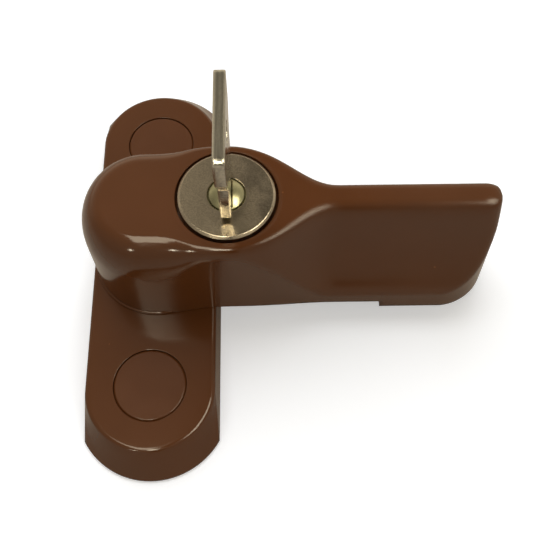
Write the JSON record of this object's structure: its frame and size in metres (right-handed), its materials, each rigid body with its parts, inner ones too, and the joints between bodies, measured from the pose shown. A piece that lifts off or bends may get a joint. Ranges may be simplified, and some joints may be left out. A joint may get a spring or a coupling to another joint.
{
  "type": "sash stopper",
  "caption": "Key-locking sash stopper: a brown swing arm with a ridged paddle turns on a screw-fixed base plate and is held by a cam lock with its key.",
  "frame": {"origin": "on the pivot axis, at the underside of the base plate, midway between the two screw holes", "axes": "+Z away from the window frame along the pivot, +Y along the base through the screw holes, +X along the arm as it stands at rest"},
  "size_m": [0.0677, 0.074, 0.0479],
  "materials": {
    "brown_paint": "semi-gloss",
    "brown_plastic": "satin",
    "satin_nickel": "satin",
    "nickel_plug": "satin",
    "nickel_key": "nickel plated",
    "zinc": "as cast",
    "plated_steel": "zinc plated",
    "spring_steel": "bright",
    "wafer_brass": "stamped"
  },
  "bodies": {
    "base": {"base_plate": "brown_paint", "screw_cap_far": "brown_plastic", "screw_cap_near": "brown_plastic"},
    "arm": {"swing_arm": "brown_paint", "pivot_disc_spring": "spring_steel", "pivot_washer": "plated_steel", "pivot_screw": "plated_steel", "lock_barrel": "zinc", "barrel_clip": "spring_steel", "lock_face": "satin_nickel"},
    "plug": {"lock_plug": "nickel_plug", "wafer_1": "wafer_brass", "wafer_2": "wafer_brass", "wafer_3": "wafer_brass", "wafer_4": "wafer_brass", "wafer_springs": "spring_steel", "locking_cam": "plated_steel", "cam_screw": "plated_steel"},
    "key": {"key": "nickel_key"}
  },
  "joints": [
    {"name": "arm_swing", "type": "hinge", "parent": "base", "child": "arm", "pos_m": [0, 0, 0], "axis": [0, 0, 1], "continuous": true},
    {"name": "key_turn", "type": "hinge", "parent": "arm", "child": "plug", "pos_m": [0.0132, 0, 0], "axis": [0, 0, -1], "range_deg": [0, 90]},
    {"name": "key_pull", "type": "slide", "parent": "plug", "child": "key", "axis": [0, 0, 1], "range_m": [0, 0.018]}
  ]
}
